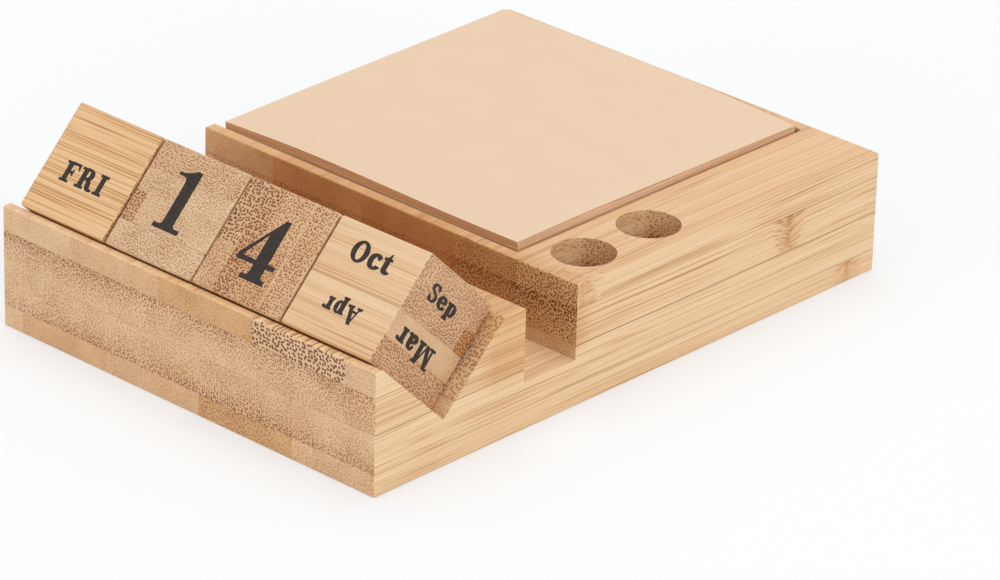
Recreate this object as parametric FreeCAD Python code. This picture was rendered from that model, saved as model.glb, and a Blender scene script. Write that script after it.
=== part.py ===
import FreeCAD, Part

import math
import os

# Desk organiser milled from two glued bamboo boards: a V-groove with four calendar
# cubes at the front, a phone slot behind it, and a memo pad in an open recess beside
# two pen holes. Millimetres, +Z up, -Y towards the user. The origin is the centre of
# the footprint, on the desk.

# --- the block: its width and depth follow from what it holds, further down ---
LOWER_BOARD_T = 12.7       # bottom board, desk to glue line
UPPER_BOARD_T = 12.7       # top board, glue line to top face
EDGE_R = 0.4               # sanded edges of the block

# --- V-groove for the cubes ---
LIP_W = 1.9                # flat left on top of the front lip
V_WALL_RUN = 16.1          # horizontal run of each sloping wall
V_DEPTH = 15.6             # top face to the bottom of the V

# --- phone slot ---
RIDGE_W = 5.5              # flat top of the ridge between V-groove and slot
SLOT_W = 14.1
SLOT_DEPTH = 15.6

# --- memo recess, open at the left ---
STRIP_T = 2.6              # thin wall between phone slot and recess
REAR_WALL_T = 2.6          # thin wall behind the recess
SIDE_WALL_W = 18.0         # right-hand wall, which carries the pen holes
RECESS_DEPTH = UPPER_BOARD_T   # milled down to the glue line

# --- pen holes, centred in the right-hand wall ---
PEN_HOLES = 2
PEN_HOLE_D = 12.7
PEN_HOLE_DEPTH = 19.0
PEN_HOLE_PITCH = 18.2
PEN_HOLE_FIRST = 11.4      # slot wall to the centre of the first hole

# --- calendar cubes ---
CUBE = 23.0
CUBE_EDGE_R = 0.5
CUBE_GAP = 0.55            # between neighbouring cubes
CUBE_SEAT = 0.35           # running clearance to the walls of the V
CUBE_NAMES = ("weekday_cube", "tens_cube", "units_cube", "month_cube")   # left to right

# --- memo pad ---
PAD_W = 79.2               # the sheets along X, a little out of square
PAD_L = 80.0               # the sheets along Y
PAD_PROUD = 1.4            # how far the pad stands above the top face
PAD_SIDE_GAP = 1.1         # to the right-hand wall
PAD_END_GAP = 1.7          # from the open left end of the recess
PAD_FRONT_GAP = 1.2        # to the thin strip
PAD_BACK_GAP = 0.5         # from the glue to the rear wall
PAD_SEAT = 0.2             # running clearance to the recess floor
CARD_T = 0.8               # backing card
LEAF_T = 0.3               # the leaf on top, thickened from paper so that it is a solid
LEAF_GAP = 0.1             # between the top leaf and the sheets under it
GLUE_T = 0.4               # padding glue on the far edge of the sheets

# --- planes worked out from the sizes above ---
WIDTH = PAD_END_GAP + PAD_W + PAD_SIDE_GAP + SIDE_WALL_W
V_AND_RIDGE = LIP_W + 2 * V_WALL_RUN + RIDGE_W
RECESS_LENGTH = PAD_FRONT_GAP + PAD_L + GLUE_T + PAD_BACK_GAP
DEPTH = V_AND_RIDGE + SLOT_W + STRIP_T + RECESS_LENGTH + REAR_WALL_T
LEFT = -WIDTH / 2
RIGHT = WIDTH / 2
FRONT = -DEPTH / 2
BACK = DEPTH / 2
GLUE_Z = LOWER_BOARD_T
TOP_Z = LOWER_BOARD_T + UPPER_BOARD_T
V_BOTTOM_Y = FRONT + LIP_W + V_WALL_RUN
V_BOTTOM_Z = TOP_Z - V_DEPTH
V_BACK_Y = V_BOTTOM_Y + V_WALL_RUN
SLOT_FRONT_Y = V_BACK_Y + RIDGE_W
SLOT_BACK_Y = SLOT_FRONT_Y + SLOT_W
RECESS_FRONT_Y = SLOT_BACK_Y + STRIP_T
RECESS_BACK_Y = RECESS_FRONT_Y + RECESS_LENGTH
RECESS_RIGHT_X = RIGHT - SIDE_WALL_W
RECESS_FLOOR_Z = TOP_Z - RECESS_DEPTH
PAD_RIGHT_X = RECESS_RIGHT_X - PAD_SIDE_GAP
PAD_LEFT_X = PAD_RIGHT_X - PAD_W
PAD_FRONT_Y = RECESS_FRONT_Y + PAD_FRONT_GAP
PAD_BACK_Y = PAD_FRONT_Y + PAD_L
CARD_BOTTOM_Z = RECESS_FLOOR_Z + PAD_SEAT
BLOCK_BOTTOM_Z = CARD_BOTTOM_Z + CARD_T
LEAF_BOTTOM_Z = TOP_Z + PAD_PROUD - LEAF_T
BLOCK_TOP_Z = LEAF_BOTTOM_Z - LEAF_GAP

OVERCUT = 5.0              # how far each cutter runs past the face it opens
EPS = 1e-4                 # for telling which plane an edge lies on


def block(x0, x1, y0, y1, z0, z1):
    """A plain block between two corners."""
    return Part.makeBox(x1 - x0, y1 - y0, z1 - z0, FreeCAD.Vector(x0, y0, z0))


def groove(profile):
    """A cutter that runs across the whole width, from a closed (y, z) outline."""
    x0 = LEFT - OVERCUT
    points = [FreeCAD.Vector(x0, y, z) for y, z in profile]
    outline = Part.makePolygon(points + points[:1])
    return Part.Face(outline).extrude(FreeCAD.Vector(WIDTH + 2 * OVERCUT, 0, 0))


def v_cutter():
    """The V-groove, its walls carried on past the top face at the same slope."""
    slope = V_DEPTH / V_WALL_RUN
    past_run = OVERCUT / slope
    return groove([
        (V_BOTTOM_Y, V_BOTTOM_Z),
        (V_BACK_Y + past_run, TOP_Z + OVERCUT),
        (FRONT + LIP_W - past_run, TOP_Z + OVERCUT),
    ])


def slot_cutter():
    return groove([
        (SLOT_FRONT_Y, TOP_Z - SLOT_DEPTH),
        (SLOT_BACK_Y, TOP_Z - SLOT_DEPTH),
        (SLOT_BACK_Y, TOP_Z + OVERCUT),
        (SLOT_FRONT_Y, TOP_Z + OVERCUT),
    ])


def recess_cutter():
    """The memo recess, cut out through the left side."""
    return block(
        LEFT - OVERCUT, RECESS_RIGHT_X,
        RECESS_FRONT_Y, RECESS_BACK_Y,
        RECESS_FLOOR_Z, TOP_Z + OVERCUT,
    )


def pen_hole_cutters():
    centre_x = (RECESS_RIGHT_X + RIGHT) / 2
    first_y = SLOT_BACK_Y + PEN_HOLE_FIRST
    bottom_z = TOP_Z - PEN_HOLE_DEPTH
    cutters = []
    for i in range(PEN_HOLES):
        foot = FreeCAD.Vector(centre_x, first_y + i * PEN_HOLE_PITCH, bottom_z)
        cutters.append(Part.makeCylinder(PEN_HOLE_D / 2, PEN_HOLE_DEPTH + OVERCUT, foot))
    return cutters


def all_cutters():
    return [v_cutter(), slot_cutter(), recess_cutter()] + pen_hole_cutters()


def is_straight(edge):
    return isinstance(edge.Curve, (Part.Line, Part.LineSegment))


def on_plane(edge, axis, value):
    """True where both ends of an edge have the same coordinate on one plane."""
    return all(abs(v.Point[axis] - value) < EPS for v in edge.Vertexes)


def sanded(shape, outer_z):
    """Round the outer edges: round the outer face, and the upright corners of the block."""
    x_axis, y_axis, z_axis = 0, 1, 2
    chosen = []
    for edge in shape.Edges:
        if not is_straight(edge):
            continue
        on_side = on_plane(edge, x_axis, LEFT) or on_plane(edge, x_axis, RIGHT)
        on_end = on_plane(edge, y_axis, FRONT) or on_plane(edge, y_axis, BACK)
        if on_plane(edge, z_axis, outer_z) or (on_side and on_end):
            chosen.append(edge)
    return shape.makeFillet(EDGE_R, chosen)


def board_piece(y0, y1, z0, z1, outer_z):
    """The part of one board between two planes across it, with every cut made in it."""
    piece = block(LEFT, RIGHT, y0, y1, z0, z1).cut(all_cutters()).removeSplitter()
    return sanded(piece, outer_z)


def lower_board():
    return board_piece(FRONT, BACK, 0.0, GLUE_Z, 0.0)


def front_lip():
    return board_piece(FRONT, V_BOTTOM_Y, GLUE_Z, TOP_Z, TOP_Z)


def divider_ridge():
    return board_piece(V_BOTTOM_Y, SLOT_FRONT_Y, GLUE_Z, TOP_Z, TOP_Z)


def rear_walls():
    """The board behind the phone slot, parted into its three walls where they meet."""
    surround = board_piece(SLOT_BACK_Y, BACK, GLUE_Z, TOP_Z, TOP_Z)
    spans = {
        "recess_strip": (LEFT, RECESS_RIGHT_X, SLOT_BACK_Y, RECESS_FRONT_Y),
        "side_wall": (RECESS_RIGHT_X, RIGHT, SLOT_BACK_Y, BACK),
        "rear_wall": (LEFT, RECESS_RIGHT_X, RECESS_BACK_Y, BACK),
    }
    return {name: surround.common(block(*span, GLUE_Z, TOP_Z)) for name, span in spans.items()}


def calendar_cube(index):
    """One cube lying in the V, its lower face along the front wall.

    In a V narrower than a right angle it rides up that wall until its back clears the
    top of the far wall.
    """
    wall_angle = math.atan2(V_DEPTH, V_WALL_RUN)
    wall_length = math.hypot(V_DEPTH, V_WALL_RUN)
    ride_up = max(0.0, (V_DEPTH ** 2 - V_WALL_RUN ** 2) / wall_length)
    row_width = len(CUBE_NAMES) * CUBE + (len(CUBE_NAMES) - 1) * CUBE_GAP
    x0 = -row_width / 2 + index * (CUBE + CUBE_GAP)
    cube = Part.makeBox(CUBE, CUBE, CUBE, FreeCAD.Vector(0, -CUBE, 0))
    cube = cube.makeFillet(CUBE_EDGE_R, cube.Edges)
    cube.translate(FreeCAD.Vector(0, -CUBE_SEAT - ride_up, CUBE_SEAT))
    cube.rotate(FreeCAD.Vector(0, 0, 0), FreeCAD.Vector(1, 0, 0), -math.degrees(wall_angle))
    cube.translate(FreeCAD.Vector(x0, V_BOTTOM_Y, V_BOTTOM_Z))
    return cube


def pad_layer(z0, z1):
    return block(PAD_LEFT_X, PAD_RIGHT_X, PAD_FRONT_Y, PAD_BACK_Y, z0, z1)


def backing_card():
    return pad_layer(CARD_BOTTOM_Z, BLOCK_BOTTOM_Z)


def paper_block():
    return pad_layer(BLOCK_BOTTOM_Z, BLOCK_TOP_Z)


def top_leaf():
    return pad_layer(LEAF_BOTTOM_Z, LEAF_BOTTOM_Z + LEAF_T)


def glue_binding():
    return block(
        PAD_LEFT_X, PAD_RIGHT_X,
        PAD_BACK_Y, PAD_BACK_Y + GLUE_T,
        CARD_BOTTOM_Z, BLOCK_TOP_Z,
    )


def build_all():
    pieces = {
        "lower_board": lower_board(),
        "front_lip": front_lip(),
        "divider_ridge": divider_ridge(),
        "backing_card": backing_card(),
        "paper_block": paper_block(),
        "glue_binding": glue_binding(),
        "top_leaf": top_leaf(),
    }
    pieces.update(rear_walls())
    for index, name in enumerate(CUBE_NAMES):
        pieces[name] = calendar_cube(index)
    return pieces


os.makedirs("parts", exist_ok=True)
for name, shape in build_all().items():
    shape.exportStep(f"parts/{name}.step")
    box = shape.BoundBox
    print(f"{name}: {len(shape.Solids)} solid, valid {shape.isValid()}, volume {shape.Volume:.1f}")
    print(f"   size {box.XLength:.2f} x {box.YLength:.2f} x {box.ZLength:.2f}, lowest z {box.ZMin:.2f}")
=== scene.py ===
import math
import random

import bpy
from mathutils import Matrix, Vector


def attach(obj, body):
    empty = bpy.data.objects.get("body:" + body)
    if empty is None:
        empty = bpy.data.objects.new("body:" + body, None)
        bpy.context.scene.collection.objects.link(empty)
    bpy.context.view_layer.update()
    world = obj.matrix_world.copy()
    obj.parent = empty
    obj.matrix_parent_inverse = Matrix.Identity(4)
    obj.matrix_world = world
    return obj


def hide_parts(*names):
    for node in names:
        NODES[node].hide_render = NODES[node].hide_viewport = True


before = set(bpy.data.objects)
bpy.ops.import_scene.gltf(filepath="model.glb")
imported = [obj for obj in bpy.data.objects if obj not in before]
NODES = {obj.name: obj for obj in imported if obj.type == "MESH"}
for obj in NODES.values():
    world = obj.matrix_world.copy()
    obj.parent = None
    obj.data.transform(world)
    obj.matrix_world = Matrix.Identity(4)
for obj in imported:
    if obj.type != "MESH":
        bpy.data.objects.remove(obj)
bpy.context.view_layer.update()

MM = 0.001
V_BOTTOM = Vector((0.0, -52.5, 9.8))  # bottom line of the V groove, mm
V_ANGLE = math.atan2(15.6, 16.1)  # how far the cubes are tipped back on the groove's front wall
CUBE = 23.0
CUBE_SEAT = 0.35
CUBE_X = {"weekday_cube": -46.83, "tens_cube": -23.28, "units_cube": 0.27, "month_cube": 23.83}
FACE_NORMAL = Vector((0.0, -math.cos(V_ANGLE), math.sin(V_ANGLE)))  # of the face that is read
FACE_UP = Vector((0.0, math.sin(V_ANGLE), math.cos(V_ANGLE)))
X, Y, Z = Vector((1, 0, 0)), Vector((0, 1, 0)), Vector((0, 0, 1))


# ---------------------------------------------------------------- camera

def place_camera():
    """A long lens from the front right, looking down on the organiser."""
    turn, rise, roll = math.radians(42.777), math.radians(25.606), math.radians(1.556)
    back = Vector((math.sin(turn) * math.cos(rise), -math.cos(turn) * math.cos(rise), math.sin(rise)))
    side = (-back).cross(Z).normalized()
    top = side.cross(-back)
    across = side * math.cos(roll) + top * math.sin(roll)
    upward = top * math.cos(roll) - side * math.sin(roll)
    spot = Vector((20.23, -5.975, 10.482)) * MM + back * 1.10987
    data = bpy.data.cameras.new("Camera")
    data.sensor_width = 36.0
    data.lens = 208.146
    data.clip_start, data.clip_end = 0.05, 50.0
    camera = bpy.data.objects.new("Camera", data)
    bpy.context.collection.objects.link(camera)
    camera.matrix_world = Matrix.Translation(spot) @ Matrix((across, upward, back)).transposed().to_4x4()
    bpy.context.scene.camera = camera


# ---------------------------------------------------------------- materials

def tone(code):
    """An sRGB hex colour as linear RGBA."""
    parts = [int(code[i:i + 2], 16) / 255 for i in (1, 3, 5)]
    return tuple(p / 12.92 if p <= 0.04045 else ((p + 0.055) / 1.055) ** 2.4 for p in parts) + (1.0,)


def put(tree, kind, wires=None, stops=None, **settings):
    """Adds a node with its settings, wires or fills its inputs, and gives back its first live output."""
    made = tree.nodes.new("ShaderNode" + kind)
    for key, value in settings.items():
        setattr(made, key, value)
    if stops:
        ramp = made.color_ramp
        ramp.interpolation = "CONSTANT" if len(stops[0]) == 3 else "LINEAR"
        while len(ramp.elements) < len(stops):
            ramp.elements.new(1.0)
        while len(ramp.elements) > len(stops):
            ramp.elements.remove(ramp.elements[-1])
        for element, stop in zip(ramp.elements, stops):
            element.position = stop[0]
            element.color = tone(stop[1]) if isinstance(stop[1], str) else stop[1]
    live = [s for s in made.inputs if s.enabled]
    for key, value in (wires or {}).items():
        socket = live[key] if isinstance(key, int) else next(s for s in live if s.name == key)
        if isinstance(value, bpy.types.NodeSocket):
            tree.links.new(value, socket)
        else:
            socket.default_value = value
    return next((s for s in made.outputs if s.enabled), made)


SMOOTH = {"interpolation_type": "SMOOTHSTEP"}  # settings for put
MULTIPLIED = {"data_type": "RGBA", "blend_type": "MULTIPLY"}
NODE_SPAN, NODE_START = 160.0, -80.0  # a node place of 0 to 1 covers the block along the fibre, mm
STRIP_SHIFT = 371.0  # moves the pattern by a strip's tone, so that no two strips are alike


def new_material(name):
    """An empty node tree with its output."""
    made = bpy.data.materials.new(name)
    made.use_nodes = True
    made.node_tree.nodes.clear()
    return made, made.node_tree


def point_mm(tree):
    """Where a point lies on its own object, in mm."""
    coords = put(tree, "TexCoord").node.outputs
    return put(tree, "VectorMath", {0: coords["Object"], 1: (1 / MM,) * 3}, operation="MULTIPLY")


def laminated_bamboo(name, across, fibre, through, origin, span, depth, plies, layers,
                     tint="#FFFFFF", painted_slot_shade=None, joint_and_slot_shade=None):
    """Moso bamboo strips glued flat into plies, sawn, sanded and left with a thin matt oil.

    Cut across the fibre it shows the dark dots of the vascular bundles, 0.5 to 0.8 mm apart and
    crowded towards the culm's skin. Cut along the fibre the same bundles show as fine brown
    streaks in pale straw, crossed by a knuckle where a strip had its node.
    plies are (start in mm, [(start across in mm, tone, coarseness, dot strength, node place)]).
    layers are (place through in mm, crowding of the bundles, glue line). tint is the whole
    piece's own shade. painted_slot_shade is (start and end along the fibre, start through), in mm,
    of the part painted darker, a painted shade in and round the slot. joint_and_slot_shade is (place
    along the fibre, start through, strips): behind it the plies are butted to other strips, set
    darker as painted shade for the slot, whose last number deepens their dots and lightens their
    ground, painted light and contrast towards the slot's open right end.
    """
    made, tree = new_material(name)
    turn = Matrix((across, fibre, through))
    coords = put(tree, "TexCoord").node.outputs
    place = put(tree, "Mapping", {
        "Vector": coords["Object"], "Location": -(turn @ origin),
        "Rotation": turn.to_euler("XYZ"), "Scale": (1 / MM,) * 3}, vector_type="POINT")
    split = put(tree, "SeparateXYZ", {0: place}).node.outputs

    # which strip a point is in: tone, coarseness and dot strength, with the node's place as alpha
    strip = node_at = None
    reach = put(tree, "MapRange", {"Value": split[0], "From Min": -1.0, "From Max": span + 1})
    for start, strips in plies:
        ramp = put(tree, "ValToRGB", {0: reach}, stops=[
            ((s[0] + 1) / (span + 2) if s[0] else 0.0, s[1:], 0) for s in strips]).node
        if strip is None:
            strip, node_at = ramp.outputs["Color"], ramp.outputs["Alpha"]
            continue
        above = put(tree, "Math", {0: split[2], 1: start}, operation="GREATER_THAN")
        strip = put(tree, "Mix", {"Factor": above, "A": strip, "B": ramp.outputs["Color"]}, data_type="RGBA")
        node_at = put(tree, "Mix", {"Factor": above, "A": node_at, "B": ramp.outputs["Alpha"]})
    painted_slot_contrast = 1.0
    # painted shade and light: behind the lip the upper plies take other strips, set darker for the shade in
    # the slot; towards the front their alpha becomes a contrast factor, painted light towards the slot's open
    # right end
    if joint_and_slot_shade:
        behind = put(tree, "Math", {0: split[1], 1: joint_and_slot_shade[0]}, operation="GREATER_THAN")
        above = put(tree, "Math", {0: split[2], 1: joint_and_slot_shade[1]}, operation="GREATER_THAN")
        behind = put(tree, "Math", {0: behind, 1: above}, operation="MULTIPLY")
        ramp = put(tree, "ValToRGB", {0: reach}, stops=[
            ((s[0] + 1) / (span + 2), s[1:], 0) for s in joint_and_slot_shade[2]]).node
        strip = put(tree, "Mix", {"Factor": behind, "A": strip, "B": ramp.outputs["Color"]}, data_type="RGBA")
        front = put(tree, "MapRange", {"Value": split[1], "From Min": painted_slot_shade[1], "From Max": painted_slot_shade[1] - 5})
        front = put(tree, "Math", {0: behind, 1: front}, operation="MULTIPLY")
        painted_slot_contrast = put(tree, "Mix", {"Factor": front, "A": 1.0, "B": ramp.outputs["Alpha"]})
    strip = put(tree, "SeparateColor", {0: strip}).node.outputs

    # how the bundles crowd through each ply, and the glue lines between plies
    level = put(tree, "MapRange", {"Value": split[2], "From Min": 0.0, "From Max": depth})
    profile = put(tree, "ValToRGB", {0: level}, stops=[(z / depth, (c, g, 0, 1)) for z, c, g in layers])
    profile = put(tree, "SeparateColor", {0: profile}).node.outputs
    crowd, glue = profile[0], profile[1]

    # the fibres wander by half a millimetre over a few centimetres
    slow = put(tree, "VectorMath", {0: place, 1: (0.05, 0.012, 0.05)}, operation="MULTIPLY")
    wander = put(tree, "TexNoise", {"Vector": slow, "Scale": 1.0, "Detail": 2.0, "Roughness": 0.4}).node
    wander = put(tree, "VectorMath", {
        0: wander.outputs["Color"], 1: (2.6, 0.0, 2.2), 2: place}, operation="MULTIPLY_ADD")

    # a node: the fibres bulge round a knuckle some 4 mm long, paler towards the front of the block
    along = put(tree, "Math", {0: node_at, 1: NODE_SPAN, 2: NODE_START}, operation="MULTIPLY_ADD")
    rough = put(tree, "TexNoise", {"Vector": place, "Scale": 0.5, "Detail": 2.0})
    along = put(tree, "Math", {0: split[1], 1: along}, operation="SUBTRACT")
    along = put(tree, "Math", {0: rough, 1: 2.2, 2: along}, operation="MULTIPLY_ADD")
    near = put(tree, "Math", {0: along}, operation="ABSOLUTE")
    bulge = put(tree, "MapRange", {
        "Value": near, "From Min": 0.0, "From Max": 5.5, "To Min": 1.0, "To Max": 0.0}, **SMOOTH)
    swirl = put(tree, "TexNoise", {"Vector": place, "Scale": 0.30, "Detail": 0.0}).node.outputs["Color"]
    push = put(tree, "Math", {0: bulge, 1: 1.4}, operation="MULTIPLY")
    swirl = put(tree, "VectorMath", {0: swirl, "Scale": push}, operation="SCALE")
    grain = put(tree, "VectorMath", {0: wander, 1: swirl}, operation="ADD")
    shift = put(tree, "Math", {0: strip[0], 1: STRIP_SHIFT}, operation="MULTIPLY")
    grain = put(tree, "VectorMath", {0: grain, 1: shift}, operation="ADD")
    grain_xyz = put(tree, "SeparateXYZ", {0: grain}).node.outputs

    # the bundles: a loose lattice of dots across the fibre
    flat = put(tree, "CombineXYZ", {0: grain_xyz[0], 1: grain_xyz[2]})
    pitch = put(tree, "MapRange", {"Value": strip[1], "To Min": 1.85, "To Max": 1.22})
    cell = put(tree, "TexVoronoi", {
        "Vector": flat, "Scale": pitch, "Randomness": 0.7}, voronoi_dimensions="2D")
    cell = cell.node.outputs
    wide = put(tree, "Math", {0: crowd, 1: 0.16, 2: 0.40}, operation="MULTIPLY_ADD")
    dot = put(tree, "MapRange", {
        "Value": cell["Distance"], "From Min": 0.08, "From Max": wide,
        "To Min": 1.0, "To Max": 0.0}, **SMOOTH)
    each = put(tree, "SeparateColor", {0: cell["Color"]}).node.outputs[0]
    each = put(tree, "Math", {0: each, 1: 0.5, 2: 0.75}, operation="MULTIPLY_ADD")
    dot = put(tree, "Math", {0: dot, 1: each}, operation="MULTIPLY")

    # slow bands some millimetres wide and fine fibre, both drawn out along the grain
    band = put(tree, "VectorMath", {0: grain, 1: (0.50, 0.0035, 0.50)}, operation="MULTIPLY")
    band = put(tree, "TexNoise", {"Vector": band, "Scale": 1.0, "Detail": 3.0, "Roughness": 0.6})
    fine = put(tree, "VectorMath", {0: grain, 1: (3.2, 0.02, 3.2)}, operation="MULTIPLY")
    fine = put(tree, "TexNoise", {"Vector": fine, "Scale": 1.0, "Detail": 1.0, "Roughness": 0.6})

    # long grain: pale straw, thin brown streaks, the knuckle darker
    long_value = put(tree, "Math", {0: band, 1: 1.1, 2: -0.03}, operation="MULTIPLY_ADD")
    long_value = put(tree, "Math", {0: fine, 1: 0.9, 2: long_value}, operation="MULTIPLY_ADD")
    long_value = put(tree, "Math", {0: long_value, 1: 0.38}, operation="SUBTRACT")
    dark = put(tree, "Math", {0: strip[2], 1: -0.42, 2: -0.02}, operation="MULTIPLY_ADD")
    streak = put(tree, "Math", {0: dot, 1: dark, 2: long_value}, operation="MULTIPLY_ADD")
    grown = put(tree, "MapRange", {
        "Value": node_at, "From Min": 0.44, "From Max": 0.60, "To Min": 0.15, "To Max": 0.65})
    knuckle = put(tree, "MapRange", {
        "Value": near, "From Min": 0.0, "From Max": 1.3, "To Min": 0.30, "To Max": 0.0})
    knuckle = put(tree, "Math", {0: knuckle, 1: grown}, operation="MULTIPLY")
    streak = put(tree, "Math", {0: streak, 1: knuckle}, operation="SUBTRACT")
    long_colour = put(tree, "ValToRGB", {0: streak}, stops=[
        (0.0, "#B98A58"), (0.28, "#D9AE7E"), (0.52, "#EAC79C"), (1.0, "#F5DBB5")])

    # end grain: light ground between dark dots, darker where they crowd
    deep = put(tree, "Math", {0: crowd, 1: 0.45, 2: 0.75}, operation="MULTIPLY_ADD")
    deep = put(tree, "Math", {0: deep, 1: strip[2]}, operation="MULTIPLY")
    deep = put(tree, "Math", {0: deep, 1: dot}, operation="MULTIPLY")
    # painted light in the slot: its contrast factor deepens the dots here and lifts the ground below
    deep = put(tree, "Math", {0: deep, 1: painted_slot_contrast}, operation="MULTIPLY")
    cloud = put(tree, "TexNoise", {"Vector": grain, "Scale": 0.16, "Detail": 2.0})
    end_value = put(tree, "Math", {0: cloud, 1: 0.5, 2: 0.44}, operation="MULTIPLY_ADD")
    end_value = put(tree, "Math", {0: painted_slot_contrast, 1: 0.12, 2: end_value}, operation="MULTIPLY_ADD")
    end_value = put(tree, "Math", {0: crowd, 1: -0.12, 2: end_value}, operation="MULTIPLY_ADD")
    end_value = put(tree, "Math", {0: deep, 1: -0.95, 2: end_value}, operation="MULTIPLY_ADD")
    end_colour = put(tree, "ValToRGB", {0: end_value}, stops=[
        (0.0, "#72421F"), (0.3, "#A97348"), (0.6, "#D4AA80"), (1.0, "#ECCBA2")])

    # the cut decides which of the two shows
    facing = put(tree, "VectorMath", {0: coords["Normal"], 1: fibre}, operation="DOT_PRODUCT").node
    facing = facing.outputs["Value"]
    facing = put(tree, "Math", {0: facing}, operation="ABSOLUTE")
    facing = put(tree, "MapRange", {"Value": facing, "From Min": 0.50, "From Max": 0.85}, **SMOOTH)
    colour = put(tree, "Mix", {"Factor": facing, "A": long_colour, "B": end_colour}, data_type="RGBA")
    stain = put(tree, "ValToRGB", {0: strip[0]}, stops=[
        (0.0, "#D9B08A"), (0.25, "#E8C9A6"), (0.5, "#FFFFFF"), (0.75, "#F6EBD8"), (1.0, "#F0DDBE")])
    soaked = put(tree, "Math", {0: facing, 1: 0.3, 2: 0.7}, operation="MULTIPLY_ADD")
    colour = put(tree, "Mix", {"Factor": soaked, "A": colour, "B": stain}, **MULTIPLIED)
    brown = put(tree, "Math", {0: bulge, 1: grown}, operation="MULTIPLY")
    brown = put(tree, "Mix", {"Factor": brown, "A": tone(tint), "B": tone("#E8CFB2")}, data_type="RGBA")
    colour = put(tree, "Mix", {"Factor": 1.0, "A": colour, "B": brown}, **MULTIPLIED)
    if painted_slot_shade:
        # painted shade: in and round the slot, above the given height, the colour is multiplied darker for
        # the shade down there
        rear = put(tree, "MapRange", {
            "Value": split[1], "From Min": painted_slot_shade[1], "From Max": painted_slot_shade[1] - 6}, **SMOOTH)
        front = put(tree, "MapRange", {
            "Value": split[1], "From Min": painted_slot_shade[0], "From Max": painted_slot_shade[0] + 6}, **SMOOTH)
        above = put(tree, "MapRange", {"Value": split[2], "From Min": painted_slot_shade[2], "From Max": painted_slot_shade[2] + 3})
        painted_shade = put(tree, "Math", {0: rear, 1: front}, operation="MULTIPLY")
        painted_shade = put(tree, "Math", {0: painted_shade, 1: above}, operation="MULTIPLY")
        colour = put(tree, "Mix", {"Factor": painted_shade, "A": colour, "B": tone("#F3E6D0")}, **MULTIPLIED)
        # painted shade: faces that look up, high on the block, are multiplied a shade darker and warmer, to
        # tone down the strong light from above
        upward = put(tree, "SeparateXYZ", {0: coords["Normal"]}).node.outputs[2]
        high = put(tree, "MapRange", {"Value": split[2], "From Min": 20.0, "From Max": 22.0})
        painted_top_shade = put(tree, "Math", {0: upward, 1: high}, operation="MULTIPLY")
        painted_top_shade = put(tree, "MapRange", {"Value": painted_top_shade, "From Min": 0.8, "From Max": 1.0})
        colour = put(tree, "Mix", {"Factor": painted_top_shade, "A": colour, "B": tone("#F8F2EE")}, **MULTIPLIED)
    seam = put(tree, "Math", {0: facing, 1: -0.75, 2: 1.0}, operation="MULTIPLY_ADD")
    seam = put(tree, "Math", {0: seam, 1: glue}, operation="MULTIPLY")
    colour = put(tree, "Mix", {"Factor": seam, "A": colour, "B": tone("#8A6440")}, data_type="RGBA")

    relief = put(tree, "Math", {0: dot, 1: facing}, operation="MULTIPLY")
    bump = put(tree, "Bump", {"Height": relief, "Strength": 0.25, "Distance": 0.00005}, invert=True)
    shader = put(tree, "BsdfPrincipled", {
        "Base Color": colour, "Roughness": 0.52, "IOR": 1.45, "Normal": bump})
    put(tree, "OutputMaterial", {"Surface": shader})
    return made


def kraft_paper():
    """Uncoated kraft paper of about 80 g: pale, dead matt, with faint flecks of fibre. At the cut
    edge the leaves show as fine lines, drawn some 0.4 mm apart so that they show. The edges facing
    front and back are painted browner than the sides, a painted shade."""
    made, tree = new_material("kraft paper")
    place = point_mm(tree)
    cloud = put(tree, "TexNoise", {"Vector": place, "Scale": 0.12, "Detail": 3.0, "Roughness": 0.6})
    fleck = put(tree, "TexNoise", {"Vector": place, "Scale": 2.2, "Detail": 3.0, "Roughness": 0.7})
    value = put(tree, "Math", {0: cloud, 1: 0.12, 2: 0.36}, operation="MULTIPLY_ADD")
    value = put(tree, "Math", {0: fleck, 1: 0.16, 2: value}, operation="MULTIPLY_ADD")
    face = put(tree, "ValToRGB", {0: value}, stops=[(0.3, "#E1C1A4"), (0.5, "#E8CBAE"), (0.7, "#EED3B9")])
    lines = put(tree, "VectorMath", {0: place, 1: (0.03, 0.03, 2.6)}, operation="MULTIPLY")
    lines = put(tree, "TexNoise", {"Vector": lines, "Scale": 1.0, "Detail": 2.0, "Roughness": 0.7})
    edge = put(tree, "ValToRGB", {0: lines}, stops=[(0.3, "#DAAC85"), (0.5, "#ECC29A"), (0.7, "#F9D9B9")])
    normal = put(tree, "TexCoord").node.outputs["Normal"]
    normal = put(tree, "SeparateXYZ", {0: normal}).node.outputs
    # painted shade: edges facing front or back are multiplied browner, as they face away from the light
    front = put(tree, "Math", {0: normal[1]}, operation="ABSOLUTE")
    edge = put(tree, "Mix", {"Factor": front, "A": edge, "B": tone("#F4E1CE")}, **MULTIPLIED)
    upright = put(tree, "Math", {0: normal[2]}, operation="ABSOLUTE")
    upright = put(tree, "MapRange", {"Value": upright, "From Min": 0.3, "From Max": 0.7})
    colour = put(tree, "Mix", {"Factor": upright, "A": edge, "B": face}, data_type="RGBA")
    bump = put(tree, "Bump", {"Height": fleck, "Strength": 0.15, "Distance": 0.00004})
    shader = put(tree, "BsdfPrincipled", {
        "Base Color": colour, "Roughness": 0.85, "IOR": 1.45, "Normal": bump})
    put(tree, "OutputMaterial", {"Surface": shader})
    return made


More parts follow.
